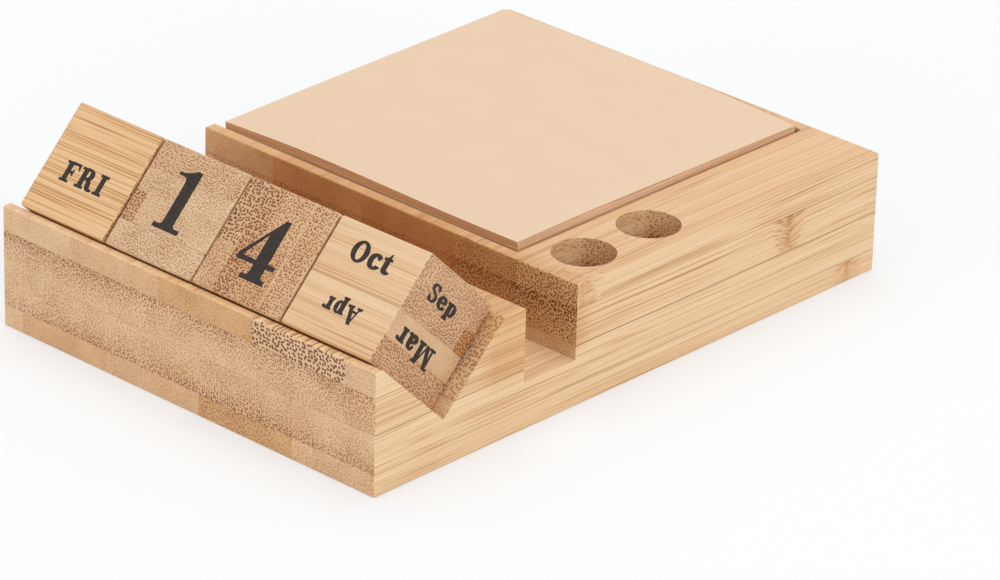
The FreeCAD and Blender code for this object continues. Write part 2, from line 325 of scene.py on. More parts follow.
def grey_card():
    """Grey chipboard, pressed from waste paper: a mealy grey brown with dark and pale specks."""
    made, tree = new_material("grey card")
    place = point_mm(tree)
    speck = put(tree, "TexNoise", {"Vector": place, "Scale": 1.8, "Detail": 4.0, "Roughness": 0.75})
    colour = put(tree, "ValToRGB", {0: speck}, stops=[(0.3, "#7E7363"), (0.5, "#A59A87"), (0.7, "#BFB5A2")])
    bump = put(tree, "Bump", {"Height": speck, "Strength": 0.2, "Distance": 0.00008})
    shader = put(tree, "BsdfPrincipled", {
        "Base Color": colour, "Roughness": 0.9, "IOR": 1.45, "Normal": bump})
    put(tree, "OutputMaterial", {"Surface": shader})
    return made


def padding_glue():
    """Brushed white padding glue, dried clear where it is thin: creamy, waxy, with brush marks
    along the pad."""
    made, tree = new_material("padding glue")
    place = point_mm(tree)
    strokes = put(tree, "VectorMath", {0: place, 1: (0.05, 1.0, 1.1)}, operation="MULTIPLY")
    strokes = put(tree, "TexNoise", {"Vector": strokes, "Scale": 1.0, "Detail": 3.0, "Roughness": 0.6})
    colour = put(tree, "ValToRGB", {0: strokes}, stops=[
        (0.3, "#DCC6A4"), (0.55, "#EBDDC4"), (0.75, "#F3EADA")])
    bump = put(tree, "Bump", {"Height": strokes, "Strength": 0.5, "Distance": 0.0001})
    shader = put(tree, "BsdfPrincipled", {
        "Base Color": colour, "Roughness": 0.38, "IOR": 1.47, "Normal": bump})
    put(tree, "OutputMaterial", {"Surface": shader})
    return made


def printing_ink():
    """Black pad-printing ink, thin and matt over open end grain: charcoal, a little paler where it
    sank in."""
    made, tree = new_material("printing ink")
    place = point_mm(tree)
    sunk = put(tree, "TexVoronoi", {"Vector": place, "Scale": 1.5}).node.outputs["Distance"]
    worn = put(tree, "TexNoise", {"Vector": place, "Scale": 0.9, "Detail": 3.0})
    sunk = put(tree, "Math", {0: worn, 1: 0.8, 2: sunk}, operation="MULTIPLY_ADD")
    colour = put(tree, "ValToRGB", {0: sunk}, stops=[(0.3, "#2A2422"), (0.7, "#312A27"), (1.0, "#3B332F")])
    shader = put(tree, "BsdfPrincipled", {
        "Base Color": colour, "Roughness": 0.75, "IOR": 1.4, "Specular IOR Level": 0.3})
    put(tree, "OutputMaterial", {"Surface": shader})
    return made


def board_bamboo():
    """Two boards of two plies each. Behind the front lip the upper board is of other strips, set
    darker as painted shade, with painted shade round the slot and painted light at its right end."""
    plies = [
        (0.0, [(0.0, 0.50, 0.1, 0.35, 0.90), (5.0, 0.42, 0.1, 0.35, 0.20), (28.6, 0.46, 0.2, 0.40, 0.0),
               (53.6, 0.82, 0.1, 0.70, 0.66), (78.6, 0.48, 0.2, 0.50, 0.896)]),
        (4.7, [(0.0, 0.52, 0.2, 0.5, 0.33), (4.0, 0.50, 0.2, 0.55, 0.75), (29.0, 0.53, 0.2, 0.60, 0.0),
               (53.6, 0.47, 0.2, 0.65, 0.2), (78.6, 0.51, 0.2, 0.50, 0.0)]),
        (12.7, [(0.0, 0.50, 0.2, 0.6, 0.62), (17.9, 0.54, 0.3, 0.6, 0.15), (42.6, 0.49, 0.2, 0.55, 0.0),
                (67.0, 0.52, 0.2, 0.60, 0.41), (92.0, 0.46, 0.3, 0.60, 0.781)]),
        (20.3, [(0.0, 0.49, 0.1, 0.35, 0.0), (18.6, 0.44, 0.2, 0.40, 0.85), (43.2, 0.82, 0.0, 0.40, 0.3),
                (67.7, 0.50, 0.9, 3.20, 0.0), (92.0, 0.53, 0.2, 0.40, 0.42)]),
    ]
    layers = [(0.0, 0.2, 0.0), (4.5, 0.3, 0.0), (4.7, 0.9, 0.5), (4.9, 1.0, 0.0), (7.5, 0.45, 0.0),
              (12.5, 0.1, 0.0), (12.7, 0.1, 0.9), (12.9, 0.1, 0.0), (17.5, 0.5, 0.0), (20.1, 1.0, 0.0),
              (20.3, 0.9, 0.5), (20.5, 0.3, 0.0), (25.4, 0.2, 0.0)]
    # strips behind the lip: darker tones as painted shade for the slot; the last numbers, above 1 towards the
    # right end, are painted light and contrast there
    behind = [(0.0, 0.50, 0.0, 0.35, 1.0), (18.6, 0.34, 0.0, 0.35, 1.0), (43.2, 0.31, 0.0, 0.35, 1.0),
              (67.7, 0.38, 0.2, 0.6, 1.4), (84.0, 0.46, 0.4, 0.7, 1.9)]
    return laminated_bamboo(
        "bamboo board", X, Y, Z, Vector((-50.0, 0.0, 0.0)), 100.0, 25.4, plies, layers,
        painted_slot_shade=(-44.0, -11.0, 10.0), joint_and_slot_shade=(-49.5, 12.7, behind))


# ---------------------------------------------------------------- memo pad

PAD_X, PAD_Y = (-48.3, 30.9), (-13.0, 67.0)
# height of the top leaf over the flat, mm: rows from the front edge to the glued one, left to right
CURL = ((-0.90, 0.00, -0.10, -0.50, -0.25),
        (-0.55, 0.05, 0.00, -0.20, 0.05),
        (-0.35, 0.05, 0.10, 0.00, -0.30),
        (-0.20, 0.10, 0.25, 0.15, -0.40),
        (0.05, 0.35, 0.45, 0.30, -0.70))


def select_only(pieces):
    """Selects these pieces alone, with the first of them active."""
    bpy.ops.object.select_all(action="DESELECT")
    for piece in pieces:
        piece.select_set(True)
    bpy.context.view_layer.objects.active = pieces[0]


def apply_modifiers(piece):
    select_only([piece])
    for modifier in list(piece.modifiers):
        bpy.ops.object.modifier_apply(modifier=modifier.name)


def curled_sheet():
    """A grid as large as the pad whose points are lifted by CURL and then smoothed."""
    middle = ((PAD_X[0] + PAD_X[1]) / 2 * MM, (PAD_Y[0] + PAD_Y[1]) / 2 * MM, 0.0)
    bpy.ops.mesh.primitive_grid_add(x_subdivisions=4, y_subdivisions=4, size=1.0, location=middle)
    bpy.ops.transform.resize(value=((PAD_X[1] - PAD_X[0]) * MM, (PAD_Y[1] - PAD_Y[0]) * MM, 1.0))
    bpy.ops.object.transform_apply(location=True, rotation=True, scale=True)
    sheet = bpy.context.object
    order = sorted(sheet.data.vertices, key=lambda v: (round(v.co.y, 5), round(v.co.x, 5)))
    for vertex, lift in zip([v.index for v in order], [lift for row in CURL for lift in row]):
        bpy.ops.object.mode_set(mode="EDIT")
        bpy.ops.mesh.select_all(action="DESELECT")
        bpy.ops.object.mode_set(mode="OBJECT")
        sheet.data.vertices[vertex].select = True
        bpy.ops.object.mode_set(mode="EDIT")
        bpy.ops.transform.translate(value=(0.0, 0.0, lift * MM))
    bpy.ops.object.mode_set(mode="OBJECT")
    smooth = sheet.modifiers.new("smooth", "SUBSURF")
    smooth.levels = smooth.render_levels = 2
    smooth.boundary_smooth = "PRESERVE_CORNERS"
    apply_modifiers(sheet)
    return sheet


def leaf(name, sheet, top, thick, share, slide=(0.0, 0.0)):
    """A copy of the sheet with its share of the curl, top mm up and thick mm thick."""
    made = bpy.data.objects.new(name, sheet.data.copy())
    bpy.context.collection.objects.link(made)
    lift = Matrix.Translation((slide[0] * MM, slide[1] * MM, top * MM))
    made.data.transform(lift @ Matrix.Diagonal((1, 1, share, 1)))
    body = made.modifiers.new("thickness", "SOLIDIFY")
    body.thickness, body.offset = thick * MM, -1.0
    apply_modifiers(made)
    return made


def finish_piece(piece, name, material, body, slot, *nodes):
    """Names a piece, gives it its material and body, and says which CAD nodes it stands in for."""
    piece.name = piece.data.name = name
    piece.data.materials.clear()
    piece.data.materials.append(material)
    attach(piece, body)
    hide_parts(*nodes)
    return piece


def memo_pad():
    kraft = kraft_paper()
    sheet = curled_sheet()
    top = leaf("top_sheet", sheet, 26.78, 0.18, 1.0)
    finish_piece(top, "top_sheet", kraft, "top_leaf", "kraft_paper", "top_leaf")

    # the leaves under it in twenty bundles, none quite square on the next
    dice = random.Random(11)
    bundles, count, low, high, air = [], 20, 13.72, 26.50, 0.055
    step = (high - low) / count
    for k in range(count):
        slide = (dice.uniform(-0.10, 0.10), dice.uniform(-0.10, 0.0))
        bundles.append(leaf("bundle", sheet, low + step * (k + 1), step - air, (k + 1) / count, slide))
    select_only(bundles)
    bpy.ops.object.join()
    finish_piece(bpy.context.object, "leaf_stack", kraft, "memo_pad", "kraft_paper", "paper_block")
    bpy.data.objects.remove(sheet)

    # chipboard back: a sheared sheet with its arrises and corners a little soft
    card = plate((PAD_X[0], PAD_Y[0], 12.9), (PAD_X[1], PAD_Y[1], 13.68))
    bevel_edges(card, lambda a, b: abs(a.z - b.z) > 0.0003, 0.6, 4)
    bevel_edges(card, lambda a, b: abs(a.z - b.z) < 0.00001, 0.08, 2)
    finish_piece(card, "chipboard_back", grey_card(), "memo_pad", "grey_card", "backing_card")

    # glue brushed over the far edge of the stack
    film = plate((PAD_X[0] + 0.1, PAD_Y[1], 13.0), (PAD_X[1] - 0.1, PAD_Y[1] + 0.36, 25.9))
    bpy.ops.object.mode_set(mode="EDIT")
    bpy.ops.mesh.select_all(action="SELECT")
    bpy.ops.mesh.subdivide(number_cuts=15)
    bpy.ops.object.mode_set(mode="OBJECT")
    texture = bpy.data.textures.new("brushing", "CLOUDS")
    texture.noise_scale = 0.004
    lumps = film.modifiers.new("brushing", "DISPLACE")
    lumps.texture, lumps.strength, lumps.mid_level = texture, 0.00016, 0.75
    apply_modifiers(film)
    bpy.ops.object.shade_smooth_by_angle(angle=math.radians(40))
    finish_piece(film, "glue_film", padding_glue(), "memo_pad", "padding_glue", "glue_binding")


def plate(low, high):
    """A block between two corners, in mm, to be shaped further."""
    low, high = Vector(low) * MM, Vector(high) * MM
    bpy.ops.object.select_all(action="DESELECT")
    bpy.ops.mesh.primitive_cube_add(size=1.0, location=(low + high) / 2, scale=high - low)
    bpy.ops.object.transform_apply(location=True, rotation=True, scale=True)
    return bpy.context.object


def bevel_edges(piece, pick, width, segments):
    """Rounds the edges whose two ends satisfy pick."""
    bpy.ops.object.mode_set(mode="EDIT")
    bpy.ops.mesh.select_all(action="DESELECT")
    bpy.ops.mesh.select_mode(type="EDGE")
    bpy.ops.object.mode_set(mode="OBJECT")
    points = piece.data.vertices
    for edge in piece.data.edges:
        edge.select = pick(points[edge.vertices[0]].co, points[edge.vertices[1]].co)
    bpy.ops.object.mode_set(mode="EDIT")
    bpy.ops.mesh.bevel(offset=width * MM, segments=segments, affect="EDGES")
    bpy.ops.object.mode_set(mode="OBJECT")


# ---------------------------------------------------------------- lettering

STEM, HAIR = 0.12, 0.042  # half widths of thick and thin strokes in a fat slab-serif, capitals 1 high
LETTER_PEN, DIGIT_PEN = (0.138, 0.064), (0.12, 0.037)  # small letters are printed heavier than digits
LETTER_GAP = 0.04
PLATE, WELD = 0.1, 0.0005  # a glyph's thickness, and how near two points are one, in the same measure
INK, SUNK = 0.04, 0.01  # how thick the printing is and how far of that it is in the wood, mm

# each glyph is its advance and its strokes; lower case is 0.70 high
GLYPHS = {
    "A": (1.02, ("slant", 0.19, 0, 0.49, 1, 0.05), ("slant", 0.80, 0, 0.47, 1, 0.13),
          ("bar", 0.30, 0.26, 0.72), ("foot", 0.19, 0, 0.17, 0.19, 0.05),
          ("foot", 0.80, 0, 0.22, 0.22, 0.12)),
    "D": (1.00, ("stem", 0.28, 0, 1), ("foot", 0.28, 0, 0.26, 0.1, STEM), ("cap", 0.28, 1, 0.26, 0.1, STEM),
          ("pen", (0.28, 0.958), (0.50, 0.955), (0.72, 0.85), (0.80, 0.5), (0.72, 0.15), (0.50, 0.045),
           (0.28, 0.042))),
    "E": (0.96, ("stem", 0.28, 0, 1), ("foot", 0.28, 0, 0.26, 0.3, STEM), ("cap", 0.28, 1, 0.26, 0.3, STEM),
          ("bar", 0.958, 0.28, 0.84), ("bar", 0.042, 0.28, 0.88), ("bar", 0.52, 0.28, 0.60),
          ("shape", (0.62, 1), (0.86, 1), (0.88, 0.68), (0.82, 0.68), (0.74, 0.87), (0.62, 0.92)),
          ("shape", (0.56, 0.70), (0.62, 0.70), (0.62, 0.34), (0.56, 0.34), (0.50, 0.5), (0.50, 0.54)),
          ("shape", (0.64, 0), (0.90, 0), (0.93, 0.34), (0.87, 0.34), (0.78, 0.14), (0.64, 0.08))),
    "F": (0.92, ("stem", 0.28, 0, 1), ("foot", 0.28, 0, 0.26, 0.28, STEM), ("cap", 0.28, 1, 0.26, 0.3, STEM),
          ("bar", 0.958, 0.28, 0.84), ("bar", 0.52, 0.28, 0.60),
          ("shape", (0.62, 1), (0.86, 1), (0.88, 0.68), (0.82, 0.68), (0.74, 0.87), (0.62, 0.92)),
          ("shape", (0.56, 0.70), (0.62, 0.70), (0.62, 0.34), (0.56, 0.34), (0.50, 0.5), (0.50, 0.54))),
    "H": (1.14, ("stem", 0.28, 0, 1), ("stem", 0.84, 0, 1), ("bar", 0.5, 0.28, 0.84),
          ("foot", 0.28, 0, 0.26, 0.24, STEM), ("cap", 0.28, 1, 0.26, 0.24, STEM),
          ("foot", 0.84, 0, 0.24, 0.26, STEM), ("cap", 0.84, 1, 0.24, 0.26, STEM)),
    "I": (0.60, ("stem", 0.30, 0, 1), ("foot", 0.30, 0, 0.26, 0.26, STEM),
          ("cap", 0.30, 1, 0.26, 0.26, STEM)),
    "J": (0.72, ("stem", 0.44, 0.25, 1), ("cap", 0.44, 1, 0.26, 0.26, STEM),
          ("pen", (0.44, 0.3), (0.41, 0.12), (0.30, 0.045), (0.17, 0.10)), ("ball", 0.16, 0.2, 0.10)),
    "M": (1.28, ("hair", 0.22, 0, 1), ("foot", 0.22, 0, 0.2, 0.2, HAIR),
          ("slant", 0.60, 0.02, 0.24, 1, 0.125), ("slant", 0.60, 0.02, 0.94, 1, 0.05), ("stem", 1.0, 0, 1),
          ("foot", 1.0, 0, 0.24, 0.24, STEM), ("bar", 0.958, 0.02, 0.36), ("bar", 0.958, 0.86, 1.24)),
    "N": (1.08, ("hair", 0.22, 0, 1), ("foot", 0.22, 0, 0.2, 0.2, HAIR), ("slant", 0.84, 0, 0.24, 1, 0.13),
          ("hair", 0.86, 0, 1), ("cap", 0.86, 1, 0.2, 0.2, HAIR), ("bar", 0.958, 0.02, 0.36)),
    "O": (0.98, ("ring", 0.49, 0.5, 0.46, 0.51)),
    "R": (1.06, ("stem", 0.28, 0, 1), ("foot", 0.28, 0, 0.26, 0.24, STEM),
          ("cap", 0.28, 1, 0.26, 0.1, STEM),
          ("pen", (0.28, 0.958), (0.52, 0.955), (0.66, 0.88), (0.70, 0.74), (0.66, 0.60), (0.52, 0.525),
           (0.28, 0.52)),
          ("pen", (0.46, 0.52), (0.64, 0.46), (0.70, 0.32), (0.74, 0.14), (0.86, 0.05), (1.0, 0.12))),
    "S": (0.78,
          ("brush", (0.62, 0.74), (0.57, 0.88), (0.40, 0.945), (0.22, 0.90), (0.16, 0.76), (0.24, 0.62),
           (0.42, 0.52), (0.58, 0.41), (0.63, 0.26), (0.56, 0.12), (0.40, 0.055), (0.22, 0.12),
           (0.14, 0.28)), ("shape", (0.60, 0.98), (0.67, 0.98), (0.69, 0.68), (0.62, 0.68), (0.56, 0.84)),
          ("shape", (0.08, 0.36), (0.15, 0.36), (0.21, 0.16), (0.15, 0.02), (0.08, 0.02))),
    "T": (0.96, ("stem", 0.48, 0, 1), ("foot", 0.48, 0, 0.26, 0.26, STEM), ("bar", 0.958, 0.06, 0.90),
          ("shape", (0.05, 1), (0.28, 1), (0.28, 0.92), (0.15, 0.86), (0.09, 0.66), (0.03, 0.66)),
          ("shape", (0.91, 1), (0.68, 1), (0.68, 0.92), (0.81, 0.86), (0.87, 0.66), (0.93, 0.66))),
    "U": (1.08, ("stem", 0.28, 0.35, 1), ("cap", 0.28, 1, 0.26, 0.24, STEM), ("hair", 0.84, 0.35, 1),
          ("cap", 0.84, 1, 0.2, 0.2, HAIR), ("pen", (0.28, 0.4), (0.30, 0.2), (0.42, 0.07), (0.58, 0.042)),
          ("line", (0.54, 0.045), (0.72, 0.1), (0.82, 0.22), (0.84, 0.4))),
    "W": (1.34, ("slant", 0.44, 0, 0.20, 1, 0.13), ("slant", 0.44, 0, 0.66, 1, 0.05),
          ("slant", 0.90, 0, 0.66, 1, 0.13), ("slant", 0.90, 0, 1.14, 1, 0.05), ("bar", 0.958, 0.02, 0.40),
          ("bar", 0.958, 0.50, 0.84), ("bar", 0.958, 1.0, 1.30)),
    "a": (0.74, ("pen", (0.50, 0.30), (0.50, 0.50), (0.45, 0.62), (0.33, 0.66), (0.21, 0.61)),
          ("ball", 0.19, 0.54, 0.085),
          ("pen", (0.50, 0.41), (0.34, 0.37), (0.18, 0.29), (0.15, 0.16), (0.25, 0.05), (0.40, 0.08),
           (0.50, 0.22)), ("stem", 0.50, 0.12, 0.40), ("line", (0.44, 0.16), (0.56, 0.05), (0.72, 0.10))),
    "b": (0.82, ("stem", 0.22, 0, 1), ("flag", 0.22, 1), ("ring", 0.45, 0.35, 0.33, 0.36)),
    "c": (0.68,
          ("pen", (0.54, 0.54), (0.48, 0.64), (0.36, 0.66), (0.20, 0.57), (0.15, 0.35), (0.22, 0.12),
           (0.38, 0.045), (0.54, 0.10), (0.62, 0.20)), ("ball", 0.53, 0.53, 0.085)),
    "e": (0.70, ("bar", 0.37, 0.15, 0.56),
          ("pen", (0.56, 0.36), (0.53, 0.57), (0.37, 0.66), (0.20, 0.57), (0.15, 0.35), (0.22, 0.12),
           (0.38, 0.045), (0.54, 0.10), (0.63, 0.20))),
    "g": (0.80, ("ring", 0.35, 0.45, 0.29, 0.25, 0.115, 0.045), ("ball", 0.69, 0.615, 0.072),
          ("shape", (0.46, 0.60), (0.56, 0.67), (0.68, 0.69), (0.70, 0.62), (0.58, 0.61), (0.52, 0.55)),
          ("shape", (0.18, 0.25), (0.32, 0.22), (0.24, 0.15), (0.31, 0.06), (0.20, 0.04), (0.10, 0.14)),
          ("ring", 0.365, -0.075, 0.31, 0.165, 0.075, 0.055)),
    "l": (0.46, ("stem", 0.23, 0, 1), ("flag", 0.23, 1), ("foot", 0.23, 0, 0.2, 0.2, STEM)),
    "n": (0.92, ("stem", 0.23, 0, 0.70), ("flag", 0.23, 0.70), ("foot", 0.23, 0, 0.2, 0.18, STEM),
          ("stem", 0.68, 0, 0.45),
          ("pen", (0.25, 0.44), (0.36, 0.61), (0.52, 0.655), (0.65, 0.58), (0.68, 0.40)),
          ("foot", 0.68, 0, 0.18, 0.2, STEM)),
    "o": (0.76, ("ring", 0.38, 0.35, 0.35, 0.365)),
    "p": (0.84, ("stem", 0.23, -0.26, 0.70), ("flag", 0.23, 0.70), ("foot", 0.23, -0.26, 0.2, 0.2, STEM),
          ("ring", 0.46, 0.35, 0.33, 0.36)),
    "r": (0.66, ("stem", 0.23, 0, 0.70), ("flag", 0.23, 0.70), ("foot", 0.23, 0, 0.2, 0.22, STEM),
          ("line", (0.28, 0.40), (0.36, 0.58), (0.52, 0.655)), ("ball", 0.54, 0.58, 0.095)),
    "t": (0.52, ("stem", 0.24, 0.16, 0.72), ("bar", 0.66, 0.02, 0.48),
          ("shape", (0.12, 0.62), (0.30, 0.92), (0.36, 0.92), (0.36, 0.62)),
          ("pen", (0.24, 0.24), (0.27, 0.10), (0.38, 0.045), (0.50, 0.14))),
    "u": (0.92, ("stem", 0.23, 0.2, 0.70), ("flag", 0.23, 0.70),
          ("pen", (0.23, 0.26), (0.26, 0.10), (0.40, 0.045), (0.54, 0.08)),
          ("line", (0.44, 0.05), (0.58, 0.12), (0.68, 0.3)), ("stem", 0.68, 0, 0.70), ("flag", 0.68, 0.70),
          ("bar", 0.042, 0.68, 0.90)),
    "v": (0.80, ("slant", 0.42, 0, 0.20, 0.70, 0.12), ("slant", 0.42, 0, 0.64, 0.70, 0.05),
          ("bar", 0.658, 0.02, 0.38), ("bar", 0.658, 0.50, 0.78)),
    "y": (0.80, ("slant", 0.42, 0, 0.20, 0.70, 0.12), ("slant", 0.42, 0, 0.64, 0.70, 0.05),
          ("bar", 0.658, 0.02, 0.38), ("bar", 0.658, 0.50, 0.78),
          ("line", (0.44, 0.05), (0.36, -0.16), (0.24, -0.24), (0.15, -0.2)), ("ball", 0.15, -0.15, 0.085)),
    "0": (0.78, ("ring", 0.39, 0.5, 0.36, 0.505)),
    "1": (0.66, ("stem", 0.36, 0, 0.9), ("foot", 0.36, 0, 0.29, 0.29, STEM),
          ("shape", (0.03, 0.905), (0.15, 0.915), (0.27, 0.95), (0.37, 1.0), (0.48, 1.0), (0.48, 0.7),
           (0.24, 0.7), (0.235, 0.80), (0.20, 0.845), (0.12, 0.86), (0.03, 0.86))),
    "2": (0.78, ("ball", 0.19, 0.74, 0.10),
          ("pen", (0.15, 0.80), (0.25, 0.92), (0.41, 0.955), (0.57, 0.86), (0.59, 0.70), (0.48, 0.50),
           (0.30, 0.30), (0.16, 0.12)),
          ("shape", (0.05, 0), (0.66, 0), (0.72, 0.28), (0.66, 0.28), (0.58, 0.16), (0.20, 0.17),
           (0.05, 0.07))),
    "3": (0.74, ("ball", 0.17, 0.77, 0.095),
          ("pen", (0.13, 0.83), (0.24, 0.93), (0.39, 0.955), (0.53, 0.87), (0.55, 0.73), (0.48, 0.59),
           (0.30, 0.54)),
          ("pen", (0.30, 0.54), (0.50, 0.49), (0.59, 0.36), (0.58, 0.19), (0.50, 0.08), (0.34, 0.045),
           (0.18, 0.12)), ("ball", 0.16, 0.21, 0.10)),
    "4": (0.78, ("stem", 0.48, 0, 0.78), ("foot", 0.48, 0, 0.25, 0.22, STEM), ("bar", 0.285, 0.02, 0.75),
          ("shape", (0.02, 0.245), (0.02, 0.34), (0.51, 1), (0.60, 1), (0.60, 0.7), (0.36, 0.72),
           (0.10, 0.325), (0.10, 0.245))),
    "5": (0.74, ("hair", 0.17, 0.46, 0.95), ("shape", (0.13, 1), (0.64, 1), (0.56, 0.84), (0.13, 0.86)),
          ("pen", (0.15, 0.50), (0.30, 0.61), (0.46, 0.58), (0.58, 0.44), (0.58, 0.22), (0.48, 0.08),
           (0.34, 0.045), (0.18, 0.12)), ("ball", 0.16, 0.21, 0.095)),
    "6": (0.76, ("ring", 0.39, 0.325, 0.35, 0.335),
          ("pen", (0.16, 0.34), (0.19, 0.62), (0.32, 0.87), (0.50, 0.955), (0.61, 0.86)),
          ("ball", 0.58, 0.80, 0.09)),
    "7": (0.74, ("slant", 0.30, 0, 0.60, 0.92, 0.11),
          ("shape", (0.04, 1), (0.71, 1), (0.71, 0.90), (0.60, 0.84), (0.18, 0.84), (0.12, 0.68),
           (0.05, 0.68))),
    "8": (0.76, ("ring", 0.38, 0.74, 0.29, 0.262), ("ring", 0.38, 0.27, 0.34, 0.275)),
}


def curve_through(points, steps=7):
    """A smooth line through the points, as (place, direction) pairs."""
    ends = [Vector(points[0]) * 2 - Vector(points[1])] + [Vector(p) for p in points]
    ends.append(ends[-1] * 2 - ends[-2])
    line = []
    for a, b, c, d in zip(ends, ends[1:], ends[2:], ends[3:]):
        for t in [k / steps for k in range(steps + (c is ends[-2]))]:
            square, cube = 2 * a - 5 * b + 4 * c - d, 3 * b - a - 3 * c + d
            place = 0.5 * (2 * b + (c - a) * t + square * t * t + cube * t ** 3)
            slope = (c - a) + 2 * square * t + 3 * cube * t * t
            line.append((place, slope.normalized()))
    return line


def oval(x, y, wide, high, count=40):
    turns = [k * math.tau / count for k in range(count)]
    return [(x + wide * math.cos(turn), y + high * math.sin(turn)) for turn in turns]


def outlines(nib, kind, *values):
    """The closed outlines of one stroke. The nib is half as wide as a thick and a thin stroke."""
    broad, fine = nib
    if kind in ("stem", "hair"):
        x, low, high = values
        half = broad if kind == "stem" else fine
        return [[(x - half, low), (x + half, low), (x + half, high), (x - half, high)]]
    if kind == "bar":
        y, left, right = values
        return [[(left, y - fine), (right, y - fine), (right, y + fine), (left, y + fine)]]
    if kind == "slant":
        x0, y0, x1, y1, half = values
        return [[(x0 - half, y0), (x0 + half, y0), (x1 + half, y1), (x1 - half, y1)]]
    if kind in ("foot", "cap"):  # a slab with its corners filled against the stem
        x, y, left, right, half = values
        way = 1 if kind == "foot" else -1
        slab, fill = 2 * fine * way, 0.05 * way
        return [[(x - left, y), (x + right, y), (x + right, y + slab), (x + half + 0.06, y + slab),
                 (x + half + 0.02, y + slab + 0.3 * fill), (x + half, y + slab + fill),
                 (x - half, y + slab + fill), (x - half - 0.02, y + slab + 0.3 * fill),
                 (x - half - 0.06, y + slab), (x - left, y + slab)]]
    if kind == "flag":
        x, y = values
        return [[(x - 0.21, y), (x + broad, y), (x + broad, y - 0.12), (x - broad, y - 0.14),
                 (x - 0.21, y - 1.8 * fine)]]
    if kind == "ring":
        x, y, wide, high, thick, thin = (values + nib)[:6]
        return [oval(x, y, wide, high), oval(x, y, wide - 2 * thick, high - 2 * thin)]
    if kind == "ball":
        return [oval(values[0], values[1], values[2], values[2], 20)]
    if kind == "shape":
        return [list(values)]
    thick, thin = {"pen": nib, "brush": (0.10, 0.065), "line": (fine * 1.2, fine)}[kind]
    line = curve_through(values)
    near, far = [], []
    for place, way in line:
        across = Vector((-way.y, way.x))
        reach = Vector((thick ** 2 * across.x, thin ** 2 * across.y))
        reach /= math.hypot(thick * across.x, thin * across.y)
        for side, edge in ((near, place + reach), (far, place - reach)):
            gap = min(math.hypot((edge.x - p.x) / thick, (edge.y - p.y) / thin) for p, _ in line)
            if gap > 0.99:  # inside a tight bend the edge would cross itself
                side.append(tuple(edge))
    return [near + far[::-1]]


def glyph(sign):
    """One letter as a thin plate: each stroke a filled flat curve, made a mesh and welded to the rest."""
    made, nib = [], DIGIT_PEN if sign.isdigit() else LETTER_PEN
    for stroke in GLYPHS[sign][1:]:
        curve = bpy.data.curves.new("stroke", "CURVE")
        curve.dimensions, curve.fill_mode, curve.extrude = "2D", "BOTH", PLATE / 2
        for loop in outlines(nib, *stroke):
            spline = curve.splines.new("POLY")
            spline.points.add(len(loop) - 1)
            for point, (x, y) in zip(spline.points, loop):
                point.co = (x, y, 0.0, 1.0)
            spline.use_cyclic_u = True
        made.append(bpy.data.objects.new("stroke", curve))
        bpy.context.collection.objects.link(made[-1])
    select_only(made)
    bpy.ops.object.convert(target="MESH")
    bpy.ops.object.join()
    bpy.ops.object.mode_set(mode="EDIT")
    bpy.ops.mesh.select_all(action="SELECT")
    bpy.ops.mesh.remove_doubles(threshold=WELD)
    bpy.ops.mesh.intersect_boolean(operation="UNION", use_self=True, solver="EXACT")
    bpy.ops.mesh.select_all(action="SELECT")
    bpy.ops.mesh.remove_doubles(threshold=WELD)
    bpy.ops.mesh.dissolve_limited(angle_limit=math.radians(0.5))
    bpy.ops.mesh.normals_make_consistent(inside=False)
    bpy.ops.object.mode_set(mode="OBJECT")
    return bpy.context.object


def print_word(name, text, centre, normal, upward, body, ink, left, right, top, high, turned=False):
    """Sets a word on a cube's face: its left, right and cap top from the face's upper left corner
    and its cap height, in mm."""
    letters, x = [], 0.0
    for sign in text:
        copy = bpy.data.objects.new(name, PLATES[sign].data.copy())
        copy.data.transform(Matrix.Translation((x, 0.0, 0.0)))
        bpy.context.collection.objects.link(copy)
        letters.append(copy)
        x += GLYPHS[sign][0] + LETTER_GAP
    select_only(letters)
    if len(letters) > 1:
        bpy.ops.object.join()
    word = bpy.context.object
    word.name = word.data.name = name
    low = min(v.co.x for v in word.data.vertices)
    wide = max(v.co.x for v in word.data.vertices) - low
    way = -1 if turned else 1
    middle = Vector(((left + right) / 2 - CUBE / 2, CUBE / 2 - top - high / 2))
    reading = upward.cross(normal)
    fit = Matrix.Translation((-low - wide / 2, -0.5, 0.0))
    fit = Matrix.Diagonal(((right - left) / wide * way, high * way, INK / PLATE, 1.0)) @ fit
    face = Matrix((reading, upward, normal)).transposed().to_4x4()
    spot = centre + reading * middle.x + upward * middle.y + normal * (CUBE / 2 + INK / 2 - SUNK)
    word.data.transform(Matrix.Diagonal((MM, MM, MM, 1.0)) @ Matrix.Translation(spot) @ face @ fit)
    word.data.materials.clear()
    word.data.materials.append(ink)
    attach(word, body)
    return word


# ---------------------------------------------------------------- dressing

def dress(node, finish):
    """Gives a CAD node its finish in every material slot."""
    if not NODES[node].material_slots:
        NODES[node].data.materials.append(finish)
    for slot in NODES[node].material_slots:
        slot.material = finish


def cube_origin(name):
    """The lowest left corner of a cube, in mm, at its edge in the groove."""
    return V_BOTTOM + (FACE_NORMAL + FACE_UP) * CUBE_SEAT + X * CUBE_X[name]


def print_cube(name, faces):
    """Prints a cube's six faces. Each face is a list of (text, left, right, top, cap height, upside down)."""
    centre = cube_origin(name) + (X + FACE_NORMAL + FACE_UP) * CUBE / 2
    sides = ((FACE_NORMAL, FACE_UP), (X, FACE_UP), (-X, FACE_UP), (FACE_UP, -FACE_NORMAL),
             (-FACE_UP, FACE_NORMAL), (-FACE_NORMAL, -FACE_UP))
    for (normal, upward), words in zip(sides, faces):
        for text, left, right, top, high, turned in words:
            print_word("print_" + name + "_" + text, text, centre, normal, upward, name, BLACK,
                       left, right, top, high, turned)


